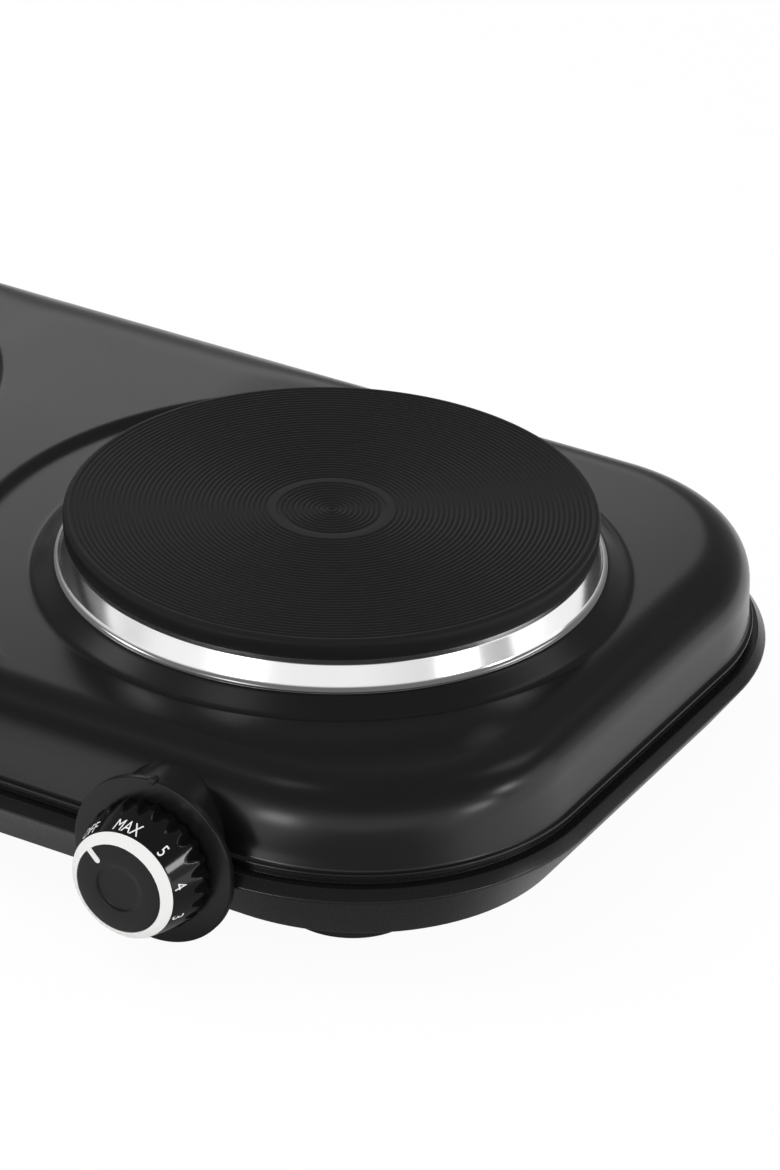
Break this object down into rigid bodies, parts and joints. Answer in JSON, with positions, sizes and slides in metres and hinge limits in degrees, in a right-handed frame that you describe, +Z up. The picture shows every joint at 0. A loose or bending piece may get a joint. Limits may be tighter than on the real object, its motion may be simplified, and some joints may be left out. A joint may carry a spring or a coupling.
{
  "type": "double electric hot plate",
  "caption": "Table-top electric hot plate: a large and a small cast-iron plate in chromed trim rings on a rounded black drawn housing, with fluted front control knobs and rubber feet.",
  "frame": {"origin": "on the table, under the middle of the bounding box", "axes": "+X to the right as seen from the front, +Y to the back, +Z up; the knobs face -Y"},
  "size_m": [0.521, 0.3127, 0.0898],
  "materials": {
    "housing_black": "satin black enamel",
    "pan_black": "fine satin moulding",
    "plate_iron": "black coated, turned grooves",
    "trim_chrome": "polished",
    "element_compound": "fired insulating compound",
    "zinc_steel": "zinc plated",
    "ceramic_white": "unglazed ceramic",
    "thermostat_resin": "moulded resin",
    "knob_black": "polished",
    "knob_white": "smooth",
    "cap_grey": "fine satin",
    "bezel_black": "satin with a bright edge",
    "foot_rubber": "matt",
    "gland_black": "matt"
  },
  "bodies": {
    "body": {"base_pan": "pan_black", "base_screws": "zinc_steel", "bracket_screws": "zinc_steel", "clamp_nuts": "zinc_steel", "cord_gland": "gland_black", "foot_screws": "zinc_steel", "front_left_foot": "foot_rubber", "front_right_foot": "foot_rubber", "left_bezel": "bezel_black", "left_clamp_bar": "zinc_steel", "left_element": "element_compound", "left_plate": "plate_iron", "left_plate_cover": "zinc_steel", "left_plate_stud": "zinc_steel", "left_terminal_block": "ceramic_white", "left_thermostat": "thermostat_resin", "left_thermostat_bracket": "zinc_steel", "left_trim_ring": "trim_chrome", "rear_left_foot": "foot_rubber", "rear_right_foot": "foot_rubber", "right_bezel": "bezel_black", "right_clamp_bar": "zinc_steel", "right_element": "element_compound", "right_plate": "plate_iron", "right_plate_cover": "zinc_steel", "right_plate_stud": "zinc_steel", "right_terminal_block": "ceramic_white", "right_thermostat": "thermostat_resin", "right_thermostat_bracket": "zinc_steel", "right_trim_ring": "trim_chrome", "thermostat_nuts": "zinc_steel", "upper_housing": "housing_black"},
    "right_control": {"right_knob": "knob_black", "right_knob_ring": "knob_white", "right_knob_cap": "cap_grey", "right_shaft": "zinc_steel"},
    "left_control": {"left_knob": "knob_black", "left_knob_ring": "knob_white", "left_knob_cap": "cap_grey", "left_shaft": "zinc_steel"}
  },
  "joints": [
    {"name": "right_knob_turn", "type": "hinge", "parent": "body", "child": "right_control", "pos_m": [0.14915, -0.13545, 0.032], "axis": [0, -1, 0], "range_deg": [0, 315]},
    {"name": "left_knob_turn", "type": "hinge", "parent": "body", "child": "left_control", "pos_m": [-0.14915, -0.13545, 0.032], "axis": [0, -1, 0], "range_deg": [0, 315]}
  ]
}
